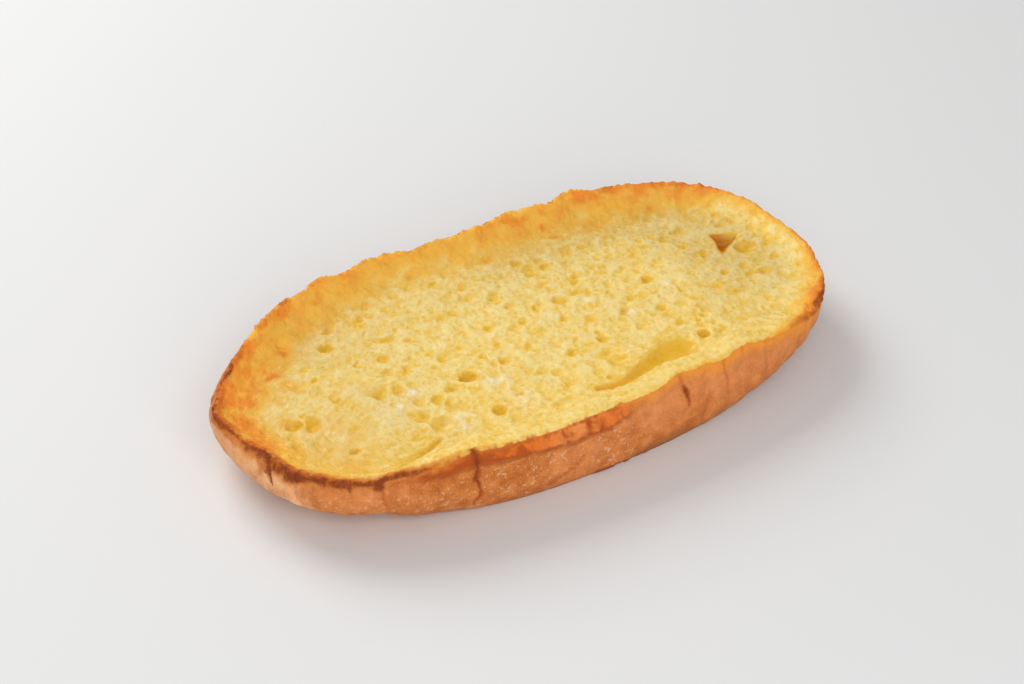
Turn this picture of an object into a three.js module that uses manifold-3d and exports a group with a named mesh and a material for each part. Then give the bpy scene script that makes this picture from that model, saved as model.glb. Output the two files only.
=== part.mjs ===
// French toast: one long slab of a soft oval loaf, soaked in egg and baked.
// It rests on its bottom crust with the cut face up. The crumb has sunk into a
// shallow dish, so the crust stands round it as a rim.
// Millimetres. +X runs along the slab, +Y to its far side, +Z up.

import * as THREE from 'three';
import Module from 'manifold-3d';
import { mergeVertices } from 'three/addons/utils/BufferGeometryUtils.js';

// Driving sizes
const halfLength = 101;
const halfWidth = 50;
const rimHeightNear = 25.3;
const rimHeightFar = 26.8;
const rimDropLeft = 5.1; // how much lower the rim is at the left end
const rimDropRight = 4.4;
const wallLean = 2.8; // how far the long sides spread towards the bottom
const bottomRounding = 2.7; // how far the bottom edge draws in, mid length
const endTuckLeft = 21; // how far the crust draws in under each end
const endTuckRight = 24;
const endBulgeLeft = 4.8;
const endSwellRight = 1.9; // how far the middle of the right end stands out
const floorHeight = 19.4; // sunken crumb above the bottom, mid length
const floorFallLeft = 3.6; // how much lower the crumb lies at the left end
const floorFallRight = 1.6;

// Corner shape of the outline: 2 is an ellipse, higher is boxier
const cornerPower = 2.8;
const cornerPowerRight = 0.3;
const cornerPowerFar = -0.2;

// Steps and dips of the rim where the crust tore or sagged: place along X,
// how far out and up, and half the length of the step
const farSteps = [
  { x: -88, out: -1.2, up: -0.9, spread: 7 },
  { x: -74, out: 0.6, up: 0.9, spread: 8 },
  { x: -63, out: 1.7, up: 1.3, spread: 7 },
  { x: -50, out: 2.3, up: 1.8, spread: 5 },
  { x: -34, out: 0.5, up: 0.3, spread: 8 },
  { x: -14, out: -1.4, up: -1, spread: 5 },
  { x: -3, out: -1.3, up: -1, spread: 6 },
  { x: 9, out: -1.1, up: -0.9, spread: 7 },
  { x: 36, out: -0.6, up: -0.4, spread: 6 },
  { x: 46, out: 2, up: 1.5, spread: 6 },
  { x: 62, out: 0.9, up: 0.7, spread: 7 },
  { x: 78, out: 0.5, up: 0.8, spread: 9 },
  { x: 92, out: 0, up: 0.3, spread: 8 },
];
const nearSteps = [
  { x: -92, out: 0.7, up: -0.5, spread: 7 },
  { x: -78, out: 1.9, up: -1.5, spread: 7 },
  { x: -64, out: 0.7, up: -0.6, spread: 7 },
  { x: -46, out: -1.3, up: 1, spread: 7 },
  { x: -18, out: 0.4, up: -0.3, spread: 8 },
  { x: 6, out: 0.3, up: -0.2, spread: 11 },
  { x: 26, out: -1.7, up: 1.3, spread: 5 },
  { x: 35, out: -1.3, up: 1, spread: 4 },
  { x: 50, out: -2.2, up: 1.7, spread: 8 },
  { x: 82, out: 1.7, up: -1.3, spread: 7 },
];

// The same round the left end, placed and spread by degrees round the outline
const leftEndSteps = [
  { x: 171, out: 2.9, up: 1.3, spread: 7 },
  { x: 197, out: -2.2, up: 1.2, spread: 10 },
];

// Where the near crust draws in under the left end, by degrees round the outline
const lowerTuck = [{ x: 222, deep: 3.2, spread: 14 }];

// Upright folds pressed into the crust, as places along X on the near side
const nearFolds = [
  { x: -86, deep: 1.4, spread: 2.6 },
  { x: -34, deep: 0.9, spread: 2 },
  { x: 27, deep: 1, spread: 2.4 },
  { x: 52, deep: 0.8, spread: 2.4 },
];

// Burst bubbles in the cut face: centre, length, width and depth. turn is in degrees
const bubbles = [
  { x: 81.5, y: 9, long: 10.5, wide: 8, deep: 5.6, turn: -25 },
  { x: 85.4, y: 2.2, long: 9.5, wide: 7, deep: 4.2, turn: -25 },
  { x: 34, y: -30.3, long: 16, wide: 9.5, deep: 2.8, turn: -8 },
  { x: 26.5, y: -33, long: 15, wide: 7.5, deep: 2.5, turn: -10 },
  { x: 17.5, y: -36, long: 15, wide: 6, deep: 2.5, turn: -6 },
  { x: 17, y: -27, long: 8.5, wide: 6.5, deep: 2.2, turn: -20 },
  { x: -27.5, y: -11, long: 6.5, wide: 5.4, deep: 3.4, turn: -25 },
  { x: -54, y: -4, long: 7, wide: 6.5, deep: 2.3, turn: -30 },
  { x: -77.5, y: -5, long: 5.5, wide: 8, deep: 3, turn: -30 },
  { x: -82.5, y: -2.5, long: 6, wide: 7, deep: 2.8, turn: -30 },
  { x: -58, y: -34.5, long: 22, wide: 4, deep: 2.4, turn: 10 },
  { x: -44.5, y: -26, long: 9, wide: 8, deep: 2.4, turn: -25 },
  { x: -27, y: -30, long: 5.4, wide: 5.2, deep: 3, turn: -30 },
];

// Fineness of the mesh
const sectors = 154;
const wallLevels = 9;
const slopeRings = 7;
const floorRings = 5;
const bottomRings = 2;

const mix = (a, b, share) => a + (b - a) * share;

// Smooth outline of the slab, before the rim's steps, at a turn in radians
function planPoint(turn) {
  const c = Math.cos(turn);
  const s = Math.sin(turn);
  const power = cornerPower + cornerPowerRight * c + cornerPowerFar * s;
  const reach = (Math.abs(c) ** power + Math.abs(s) ** power) ** (-1 / power);
  const y = halfWidth * reach * s;
  const swell = endSwellRight * Math.max(0, c) ** 4 * Math.exp(-(((y + 4) / 12) ** 2));
  return new THREE.Vector2(halfLength * reach * c + swell, y);
}

function outwardAt(turn) {
  const step = 0.001;
  const along = planPoint(turn + step).sub(planPoint(turn - step)).normalize();
  return new THREE.Vector2(along.y, -along.x);
}

// What a list of steps, each with a place and a spread, adds up to at one place
function sumOfSteps(steps, amount, x) {
  return steps.reduce((sum, step) => sum + step[amount] * Math.exp(-(((x - step.x) / step.spread) ** 2)), 0);
}

// The rim's crest: the smooth outline with its steps
function crestPoint(turn) {
  const { x, y } = planPoint(turn);
  const s = Math.sin(turn);
  const steps = s > 0 ? farSteps : nearSteps;
  const outY = y + s * sumOfSteps(steps, 'out', x);
  const middle = mix(rimHeightNear, rimHeightFar, 0.5 + 0.5 * Math.tanh(outY / 20));
  const drop = (x < 0 ? rimDropLeft : rimDropRight) * Math.abs(x / halfLength) ** 2.5;
  const degrees = THREE.MathUtils.radToDeg(turn);
  const endOut = sumOfSteps(leftEndSteps, 'out', degrees);
  const up = Math.abs(s) * sumOfSteps(steps, 'up', x) + sumOfSteps(leftEndSteps, 'up', degrees);
  const outward = outwardAt(turn);
  return new THREE.Vector3(x + outward.x * endOut, outY + outward.y * endOut, middle - drop + up);
}

// Crust wall: level is 1 at the crest and 0 at the bottom
function wallPoint(turn, level) {
  const plan = planPoint(turn);
  const crest = crestPoint(turn);
  const outward = outwardAt(turn);
  const atEnd = Math.abs(plan.x / halfLength) ** 2.5;
  const leftSide = plan.x < 0;
  const bulge = atEnd * (leftSide ? endBulgeLeft : 0);
  const tuck = mix(bottomRounding, leftSide ? endTuckLeft : endTuckRight, atEnd);
  const sharpness = mix(6, 2.5, atEnd);
  let offset = bulge * Math.sin(Math.PI * level);
  offset += wallLean * (1 - atEnd) * (1 - level);
  offset -= tuck * (1 - level) ** sharpness;
  if (plan.y < 0) {
    offset -= sumOfSteps(nearFolds, 'deep', plan.x) * Math.sin(Math.PI * level) ** 0.5;
  }
  offset -= sumOfSteps(lowerTuck, 'deep', THREE.MathUtils.radToDeg(turn)) * (1 - level) ** 2;
  const x = mix(plan.x, crest.x, level ** 3);
  const y = mix(plan.y, crest.y, level ** 3);
  return new THREE.Vector3(x + outward.x * offset, y + outward.y * offset, crest.z * level);
}

// Height of the sunken crumb away from the rim
function floorAt(x, y) {
  const fall = (x < 0 ? floorFallLeft : floorFallRight) * (x / halfLength) ** 2;
  const swell = 0.35 * Math.sin(x / 11 + 1) * Math.cos(y / 9 - 0.5);
  return floorHeight - fall + swell;
}

// Crumb inside the rim, a given way in from the crest: steep on the far side and
// left end, gentle on the right, and with a flat lip along the near side
function crumbPoint(turn, inset) {
  const crest = crestPoint(turn);
  const outward = outwardAt(turn);
  const near = Math.max(0, -outward.y) ** 2;
  const far = Math.max(0, outward.y) ** 2;
  const left = Math.max(0, -outward.x) ** 2;
  const right = Math.max(0, outward.x) ** 2;
  const width = 15 * near + 12 * far + 17 * left + 24 * right;
  const lip = 5 * near + 0.5;
  const share = Math.min(1, Math.max(0, inset - lip) / (width - lip));
  const lipDrop = 0.6 * Math.min(1, inset / lip);
  const support = crest.x * outward.x + crest.y * outward.y;
  const scale = 1 - inset / support;
  const x = crest.x * scale;
  const y = crest.y * scale;
  return new THREE.Vector3(x, y, mix(crest.z - lipDrop, floorAt(x, y), 1 - (1 - share) ** 2));
}

const deepestInset = 24;
const slopeInset = (ring) => deepestInset * (ring / slopeRings) ** 1.4;

// All rings from the middle of the bottom, up the wall, over the crest and in to
// the middle of the crumb
function slabGeometry() {
  const rings = [];
  for (let i = 1; i <= bottomRings; i += 1) {
    rings.push((turn) => {
      const edge = wallPoint(turn, 0);
      const share = i / (bottomRings + 1);
      return new THREE.Vector3(edge.x * share, edge.y * share, 0);
    });
  }
  for (let i = 0; i <= wallLevels; i += 1) {
    const level = (i / wallLevels) ** 1.5;
    rings.push((turn) => wallPoint(turn, level));
  }
  for (let i = 1; i <= slopeRings; i += 1) {
    rings.push((turn) => crumbPoint(turn, slopeInset(i)));
  }
  for (let i = 1; i < floorRings; i += 1) {
    rings.push((turn) => {
      const edge = crumbPoint(turn, deepestInset);
      const share = 1 - i / floorRings;
      const x = edge.x * share;
      const y = edge.y * share;
      return new THREE.Vector3(x, y, floorAt(x, y));
    });
  }

  const positions = [0, 0, 0];
  for (const ring of rings) {
    for (let i = 0; i < sectors; i += 1) {
      positions.push(...ring((2 * Math.PI * i) / sectors));
    }
  }
  positions.push(0, 0, floorAt(0, 0));

  const at = (ring, sector) => 1 + ring * sectors + (sector % sectors);
  const top = 1 + rings.length * sectors;
  const faces = [];
  for (let i = 0; i < sectors; i += 1) {
    faces.push(0, at(0, i + 1), at(0, i));
    for (let ring = 0; ring < rings.length - 1; ring += 1) {
      faces.push(at(ring, i), at(ring, i + 1), at(ring + 1, i + 1));
      faces.push(at(ring, i), at(ring + 1, i + 1), at(ring + 1, i));
    }
    faces.push(at(rings.length - 1, i), at(rings.length - 1, i + 1), top);
  }
  const geometry = new THREE.BufferGeometry();
  geometry.setAttribute('position', new THREE.Float32BufferAttribute(positions, 3));
  geometry.setIndex(faces);
  return geometry;
}

// An egg-shaped hollow that opens in the crumb
function bubbleGeometry(bubble) {
  const geometry = new THREE.SphereGeometry(1, 14, 9);
  geometry.scale(bubble.long / 2, bubble.wide / 2, bubble.deep);
  geometry.rotateZ(THREE.MathUtils.degToRad(bubble.turn));
  geometry.translate(bubble.x, bubble.y, floorAt(bubble.x, bubble.y) + 0.8);
  return geometry;
}

const wasm = await Module();
wasm.setup();

function toSolid(geometry) {
  const bare = geometry.clone();
  bare.deleteAttribute('normal');
  bare.deleteAttribute('uv');
  const merged = mergeVertices(bare, 0.0001);
  return new wasm.Manifold(new wasm.Mesh({
    numProp: 3,
    vertProperties: new Float32Array(merged.attributes.position.array),
    triVerts: new Uint32Array(merged.index.array),
  }));
}

function toGeometry(solid) {
  const { vertProperties, triVerts } = solid.getMesh();
  const geometry = new THREE.BufferGeometry();
  geometry.setAttribute('position', new THREE.BufferAttribute(new Float32Array(vertProperties), 3));
  geometry.setIndex(new THREE.BufferAttribute(new Uint32Array(triVerts), 1));
  return geometry;
}

function breadSlab() {
  const hollows = bubbles.map((bubble) => toSolid(bubbleGeometry(bubble)));
  const solid = hollows.reduce((slab, hollow) => slab.subtract(hollow), toSolid(slabGeometry()));
  const geometry = toGeometry(solid);
  geometry.computeBoundingBox();
  const middle = geometry.boundingBox.getCenter(new THREE.Vector3());
  geometry.translate(-middle.x, -middle.y, 0);
  geometry.computeVertexNormals();
  const material = new THREE.MeshStandardMaterial({ color: 0xe6bd58, roughness: 0.6, metalness: 0 });
  const mesh = new THREE.Mesh(geometry, material);
  mesh.name = 'bread_slab';
  return mesh;
}

const frenchToast = new THREE.Group();
frenchToast.add(breadSlab());

export default frenchToast;
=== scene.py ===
import math

import bpy
import numpy as np
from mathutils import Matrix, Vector, noise


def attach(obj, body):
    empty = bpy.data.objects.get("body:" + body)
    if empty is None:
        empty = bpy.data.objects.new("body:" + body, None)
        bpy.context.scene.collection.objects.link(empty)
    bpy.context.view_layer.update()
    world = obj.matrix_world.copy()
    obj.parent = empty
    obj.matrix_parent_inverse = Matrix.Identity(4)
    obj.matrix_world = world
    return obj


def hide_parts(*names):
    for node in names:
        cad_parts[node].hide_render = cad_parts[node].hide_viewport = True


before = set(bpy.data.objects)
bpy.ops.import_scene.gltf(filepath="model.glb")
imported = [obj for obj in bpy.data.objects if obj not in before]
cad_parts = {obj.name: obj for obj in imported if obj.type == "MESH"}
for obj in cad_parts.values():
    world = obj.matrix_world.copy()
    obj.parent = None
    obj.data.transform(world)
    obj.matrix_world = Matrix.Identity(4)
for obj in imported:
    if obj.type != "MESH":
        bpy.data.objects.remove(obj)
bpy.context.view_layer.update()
mm = 0.001

# The slab's overall form, in millimetres: the same one as the CAD solid it replaces.
slab = {
    "halfLength": 101.0, "halfWidth": 50.0, "squareness": 2.8, "squarerRight": 0.3, "squarerNear": 0.2,
    "rimNear": 25.3, "rimFar": 26.8, "rimDropLeft": 5.1, "rimDropRight": 4.4, "endPower": 2.5,
    "wallLean": 2.8, "bottomRounding": 2.7, "tuckLeft": 21.0, "tuckRight": 24.0,
    "tuckPowerSides": 6, "tuckPowerEnds": 2.5,
    "bulgeLeft": 4.8, "swellRight": (1.9, -4, 12),  # the swell: out, place across, spread
    "tuckCorner": (3.2, 222, 14),  # in, degrees round the rim, spread
    "floor": 19.4, "floorFallLeft": 3.6, "floorFallRight": 1.6, "floorWave": (0.35, 11, 9),
    "slopeNear": 15, "slopeFar": 12, "slopeLeft": 17, "slopeRight": 24,
    "lip": 0.5, "lipNear": 5, "lipFall": 0.6, "crestRise": 0.3, "crestRadius": 1.1,
}
rimSteps = {  # each: place along the slab, out, up, spread
    "far": [(-88, -1.2, -0.9, 7), (-74, 0.6, 0.9, 8), (-63, 1.7, 1.3, 7), (-50, 2.3, 1.8, 5),
            (-34, 0.5, 0.3, 8), (-14, -1.4, -1, 5), (-3, -1.3, -1, 6), (9, -1.1, -0.9, 7),
            (36, -0.6, -0.4, 6), (46, 2, 1.5, 6), (62, 0.9, 0.7, 7), (78, 0.5, 0.8, 9), (92, 0, 0.3, 8)],
    "near": [(-92, 0.7, -0.5, 7), (-78, 1.9, -1.5, 7), (-64, 0.7, -0.6, 7), (-46, -1.3, 1, 7),
             (-18, 0.4, -0.3, 8), (6, 0.3, -0.2, 11), (26, -1.7, 1.3, 5), (35, -1.3, 1, 4),
             (50, -2.2, 1.7, 8), (82, 1.7, -1.3, 7)],
    "leftEnd": [(171, 2.9, 1.3, 7), (197, -2.2, 1.2, 10)],  # these by degrees round the rim
}


def mix(a, b, share):
    return a + (b - a) * share


def smooth(low, high, value):
    share = np.clip((value - low) / (high - low), 0, 1)
    return share * share * (3 - 2 * share)


def hump(value, middle, spread):
    return np.exp(-((value - middle) / spread) ** 2)


def sumOfSteps(side, place, column):
    return sum(step[column] * hump(place, step[0], step[3]) for step in rimSteps[side])


def longSideSteps(turn, x, column):
    far, near = sumOfSteps("far", x, column), sumOfSteps("near", x, column)
    return np.abs(np.sin(turn)) * np.where(np.sin(turn) > 0, far, near)


def planAt(turn):
    c, s = np.cos(turn), np.sin(turn)
    power = slab["squareness"] + slab["squarerRight"] * c - slab["squarerNear"] * s
    reach = (np.abs(c) ** power + np.abs(s) ** power) ** (-1 / power)
    y = slab["halfWidth"] * reach * s
    out, across, breadth = slab["swellRight"]
    swell = out * np.maximum(0, c) ** 4 * hump(y, across, breadth)
    return slab["halfLength"] * reach * c + swell, y


def outwardAt(turn):
    x0, y0 = planAt(turn - 0.001)
    x1, y1 = planAt(turn + 0.001)
    length = np.hypot(x1 - x0, y1 - y0)
    return (y1 - y0) / length, (x0 - x1) / length


def crestAt(turn):
    x, y = planAt(turn)
    outX, outY = outwardAt(turn)
    degrees = np.degrees(turn)
    endOut, endUp = sumOfSteps("leftEnd", degrees, 1), sumOfSteps("leftEnd", degrees, 2)
    crestY = y + np.sign(np.sin(turn)) * longSideSteps(turn, x, 1)
    middle = mix(slab["rimNear"], slab["rimFar"], 0.5 + 0.5 * np.tanh(crestY / 20))
    drop = np.where(x < 0, slab["rimDropLeft"], slab["rimDropRight"])
    drop = drop * np.abs(x / slab["halfLength"]) ** slab["endPower"]
    crestZ = middle - drop + longSideSteps(turn, x, 2) + endUp
    return x + outX * endOut, crestY + outY * endOut, crestZ


def wallAt(turn, level):  # level 1 is the crest, 0 the bottom
    x, y = planAt(turn)
    crestX, crestY, crestZ = crestAt(turn)
    outX, outY = outwardAt(turn)
    atEnd = np.clip(np.abs(x / slab["halfLength"]), 0, 1) ** slab["endPower"]
    bulge = atEnd * np.where(x < 0, slab["bulgeLeft"], 0)
    tuck = mix(slab["bottomRounding"], np.where(x < 0, slab["tuckLeft"], slab["tuckRight"]), atEnd)
    offset = bulge * np.sin(np.pi * level) + slab["wallLean"] * (1 - atEnd) * (1 - level)
    offset = offset - tuck * (1 - level) ** mix(slab["tuckPowerSides"], slab["tuckPowerEnds"], atEnd)
    inward, degrees, breadth = slab["tuckCorner"]
    offset = offset - inward * hump(np.degrees(turn), degrees, breadth) * (1 - level) ** 2
    wallX, wallY = mix(x, crestX, level ** 3), mix(y, crestY, level ** 3)
    return wallX + outX * offset, wallY + outY * offset, crestZ * level


def floorAt(x, y):
    fall = np.where(x < 0, slab["floorFallLeft"], slab["floorFallRight"]) * (x / slab["halfLength"]) ** 2
    height, longWave, crossWave = slab["floorWave"]
    return slab["floor"] - fall + height * np.sin(x / longWave + 1) * np.cos(y / crossWave - 0.5)


# The top is one grid of square cells whose rings follow the rim, so that they stay even.
grid = {
    "along": 360, "across": 176, "wallRows": 25, "bottomRows": 5,
    "rimTightness": 1.12, "wallTightness": 1.1, "bottomTightness": 1.4,
}
tableTurns = np.linspace(0, 2 * np.pi, 4001)
tableX, tableY = planAt(tableTurns)
tableRun = np.concatenate([[0], np.cumsum(np.hypot(np.diff(tableX), np.diff(tableY)))])
outlineLength = tableRun[-1]


def runAt(turn):
    return np.interp(turn, tableTurns, tableRun)


def makeTop():
    along, across = grid["along"], grid["across"]
    i, j = np.meshgrid(np.arange(along + 1), np.arange(across + 1), indexing="ij")
    ring = np.minimum(np.minimum(i, along - i), np.minimum(j, across - j))
    onLong = np.minimum(j, across - j) == ring
    shareLong = (i - ring) / (along - 2 * ring)
    shareEnd = (j - ring) / np.maximum(1, across - 2 * ring)
    endRun = across / (2 * (along + across))
    leftRun = runAt(np.pi) / outlineLength
    nearRun = mix(leftRun + endRun / 2, 1 - endRun / 2, shareLong)
    farRun = mix(leftRun - endRun / 2, endRun / 2, shareLong)
    rightRun = (endRun * (shareEnd - 0.5)) % 1
    leftEndRun = leftRun + endRun * (0.5 - shareEnd)
    longRun = np.where(j < across / 2, nearRun, farRun)
    run = np.where(onLong, longRun, np.where(i > along / 2, rightRun, leftEndRun))
    turn = np.interp(run * outlineLength, tableRun, tableTurns)
    inward = (ring / (across / 2)) ** grid["rimTightness"]
    crestX, crestY, crestZ = crestAt(turn)
    outX, outY = outwardAt(turn)
    planX = planAt(turn)[0]
    cornerTurn = np.interp((leftRun + endRun / 2) * outlineLength, tableRun, tableTurns)
    cornerX = np.abs(planAt(cornerTurn)[0])
    lineX = (slab["halfLength"] - slab["halfWidth"]) * np.clip(planX / cornerX, -1, 1)
    x = mix(crestX, lineX, inward)
    y = crestY * (1 - inward)
    inset = (crestX - x) * outX + (crestY - y) * outY
    near, far = np.maximum(0, -outY) ** 2, np.maximum(0, outY) ** 2
    left, right = np.maximum(0, -outX) ** 2, np.maximum(0, outX) ** 2
    width = slab["slopeNear"] * near + slab["slopeFar"] * far
    width = width + slab["slopeLeft"] * left + slab["slopeRight"] * right
    lip = slab["lipNear"] * near + slab["lip"]
    share = np.clip((inset - lip) / (width - lip), 0, 1)
    rimTop = crestZ - slab["lipFall"] * np.clip(inset / lip, 0, 1) + slab["crestRise"]
    z = mix(rimTop, floorAt(x, y), 1 - (1 - share) ** 2)
    radius = slab["crestRadius"]
    fromEdge = radius - np.clip(inset, 0, radius)
    z = z - radius + np.sqrt(radius ** 2 - fromEdge ** 2)
    places = np.stack([x, y, z], -1).reshape(-1, 3)
    return places, turn.ravel(), inset.ravel()


def rimIndices():  # the top grid's edge, anticlockwise from above
    along, across = grid["along"], grid["across"]
    row = across + 1
    nearEdge = [i * row for i in range(along)]
    rightEdge = [along * row + j for j in range(across)]
    farEdge = [i * row + across for i in range(along, 0, -1)]
    leftEdge = list(range(across, 0, -1))
    return np.array(nearEdge + rightEdge + farEdge + leftEdge)


def makeSlabMesh():
    along, across = grid["along"], grid["across"]
    row = across + 1
    topPlaces, topTurn, inset = makeTop()
    rim = rimIndices()
    count = len(rim)
    rimTurn = topTurn[rim]
    crestZ = crestAt(rimTurn)[2] + slab["crestRise"]
    topLevel = (crestZ - slab["crestRadius"]) / crestZ
    places, turns, levels = [topPlaces], [topTurn], [np.ones(len(topPlaces))]
    for step in range(1, grid["wallRows"] + 1):
        level = topLevel * (1 - (step / grid["wallRows"]) ** grid["wallTightness"])
        x, y, z = wallAt(rimTurn, level)
        places.append(np.stack([x, y, z], 1))
        turns.append(rimTurn)
        levels.append(level)
    edge = places[-1]
    for step in range(1, grid["bottomRows"]):
        share = 1 - (step / grid["bottomRows"]) ** grid["bottomTightness"]
        places.append(edge * [share, share, 0])
        turns.append(rimTurn)
        levels.append(np.full(count, -step / grid["bottomRows"]))
    places.append(np.zeros((1, 3)))
    turns.append(np.zeros(1))
    levels.append(-np.ones(1))

    i, j = np.meshgrid(np.arange(along), np.arange(across), indexing="ij")
    a = (i * row + j).ravel()
    faces = np.stack([a, a + row, a + row + 1, a + 1], 1).tolist()
    upper = rim
    start = len(topPlaces)
    for step in range(grid["wallRows"] + grid["bottomRows"] - 1):
        lower = start + np.arange(count)
        faces += np.stack([upper, lower, np.roll(lower, -1), np.roll(upper, -1)], 1).tolist()
        upper = lower
        start += count
    faces += [[int(upper[q]), start, int(upper[(q + 1) % count])] for q in range(count)]

    mesh = bpy.data.meshes.new("bread_slab_looks")
    mesh.from_pydata(np.concatenate(places).tolist(), [], faces)
    mesh.update()
    facts = {
        "turn": np.concatenate(turns), "level": np.concatenate(levels), "top": len(topPlaces),
        "inset": np.concatenate([inset, np.zeros(len(mesh.vertices) - len(inset))]),
    }
    return mesh, facts


print("building the slab")
slabMesh, facts = makeSlabMesh()
places = np.empty(len(slabMesh.vertices) * 3)
slabMesh.vertices.foreach_get("co", places)
places = places.reshape(-1, 3)
normals = np.empty(len(places) * 3)
slabMesh.vertices.foreach_get("normal", normals)
normals = normals.reshape(-1, 3)
onTop = np.arange(len(places)) < facts["top"]
middle = (places.min(0) + places.max(0)) / 2
centre = np.array([middle[0], middle[1], 0])
turnDegrees = np.degrees(facts["turn"])


unevenness = {  # each kind of noise: strength, size in millimetres, octaves, seed
    "swell": (0.5, 11, 3, 3), "lumps": (1, 3.6, 3, 15), "grain": (0.2, 1.9, 2, 4),
    "slopeGrain": (0.22, 1.3, 2, 28), "tornCoarse": (1, 4.2, 2, 16), "tornFine": (1, 1.4, 3, 5),
    "crackWander": (1, 5, 3, 6), "strokeAlong": (0.9, 3, 3, 23), "strokeDown": (0.8, 2.6, 3, 24),
    "wrinkles": (1, 4.5, 3, 25), "bandLow": (0.02, 6, 2, 17), "bandSwell": (0.5, 4.5, 2, 18),
    "crustSwell": (0.6, 13, 2, 7), "crustLumps": (0.22, 6, 3, 8), "crustGrain": (0.1, 2, 3, 9),
    "flakes": (1, 3, 3, 19), "bottom": (1, 14, 3, 10), "patchy": (1, 8, 3, 12), "ragged": (1, 2.4, 3, 13),
    "granules": (1, 1.2, 2, 27), "burnEdge": (0.5, 1.3, 2, 21), "burnAmount": (0.3, 3, 2, 26),
    "blotches": (0.5, 3, 3, 22),
}
zones = {  # stretches of the rim in degrees: where each starts, is full, starts to fade and ends
    "nearLip": (238, 246, 302, 312), "smoothLip": (250, 256, 306, 316), "evenRim": (246, 256, 304, 314),
    "rightHalf": (270, 280, 335, 350), "rightFolds": (274, 284, 315, 330), "leftFolds": (196, 204, 220, 232),
    "leftEnd": (138, 180, 206, 226), "leftTip": (165, 180, 180, 190), "bandTop": (200, 230, 262, 275),
    "farSide": (20, 60, 150, 175), "farRim": (15, 50, 180, 215), "farTop": (40, 70, 135, 160),
    "farGrain": (35, 60, 205, 240), "farSlope": (35, 55, 75, 100),
}


def noiseAt(points, size, octaves, seed):
    moved = (points / size + seed * 17.3).tolist()
    return np.array([noise.fractal(p, 1.0, 2.0, octaves) for p in moved])


def uneven(points, kind):
    strength, size, octaves, seed = unevenness[kind]
    return strength * noiseAt(points, size, octaves, seed)


def inZone(degrees, name):
    start, full, fade, end = zones[name]
    return smooth(start, full, degrees) * smooth(end, fade, degrees)


def cellsAt(points, size, seed):  # distances to the two nearest cell middles, and a number per cell
    first, second, key = np.empty(len(points)), np.empty(len(points)), np.empty(len(points))
    for n, p in enumerate((points / size + seed * 9.7).tolist()):
        distances, middles = noise.voronoi(p)
        first[n], second[n] = distances[0], distances[1]
        m = middles[0]
        key[n] = math.sin(m[0] * 12.99 + m[1] * 78.23 + m[2] * 37.72) * 43758.5
    return first, second, key - np.floor(key)


def along(turn, points):  # a value that runs round the outline through (degrees, value) pairs
    degrees, values = zip(*points)
    return np.interp(turn, degrees, values)


# Burst bubbles that show one by one: place, length, width, depth, turn, and how steep the edge is.
bubbles = [
    (85.4, 2.2, 9, 6.6, 2.0, -25, 1.1), (17, -27, 8.5, 7, 1.2, -20, 1.6),
    (-27.5, -11, 7.6, 6.2, 2.6, -25, 1.1), (-54, -4, 7.5, 7, 1.4, -30, 1.6),
    (-77.5, -5, 5.5, 8.5, 2.1, -30, 1.2), (-82.5, -2.5, 6, 7, 2.0, -30, 1.1),
    (-58, -34.5, 22, 4.6, 0.9, 10, 1.5), (-44.5, -26, 9, 8, 1.4, -25, 1.7),
    (-27, -30, 5.4, 5.2, 2.1, -30, 1.1), (47.3, -29.6, 4.2, 4.2, 2.6, -30, 0.9),
    (47.5, 3.3, 5.4, 4.6, 1.6, -30, 1.2), (-58.7, 25, 5.4, 4.8, 2, -30, 1),
    (-54, 32, 6.5, 3, 1.3, 20, 1), (-70, 32, 4.8, 4.2, 1.3, 0, 1.1), (16.4, 7.6, 6, 5.6, 1.4, -30, 1.3),
    (-48.3, -5, 5.5, 6.5, 1.3, -30, 1.3), (14.8, 31.6, 5.4, 3.2, 1.3, -10, 1.1),
    (18.5, -16, 5, 4.4, 1.6, -30, 1.1), (-72, -22, 5, 3.6, 1.3, -30, 1.1),
    (-92.6, 4.6, 4.4, 4.4, 1.3, -30, 1.1), (33, 37.7, 4.6, 3.6, 1.3, -20, 1.1),
    (84.4, -11.3, 5.4, 4.2, 1.3, -30, 1.1), (-85.7, -12, 5, 3.8, 1.2, -30, 1.1),
]
channel = {  # a long burst bubble: x, y, radius
    "path": ((4, -36.2, 1.4), (11, -36.6, 2.2), (18, -35.8, 2.8), (25, -33.4, 4.2), (31, -32, 5.4),
             (37, -31.4, 6)),
    "depth": 1.8,
}
creases = [  # folds of the cut face: path with half widths, depth, shade
    (((-79, -31, 2.4), (-72.5, -35.6, 2), (-67, -39.4, 1.4)), 0.7, 0.6),
    (((-67, -39.8, 1.5), (-62.5, -37.4, 1.4), (-57, -35, 1.1), (-49, -31.8, 0.8)), 1.3, 1),
]
tear = {  # the deep three-cornered hole
    "corners": ((78.8, 13.4), (76.4, 2.9), (88.0, 9.2)), "depth": 3.6, "slope": 2.0,
}
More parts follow.
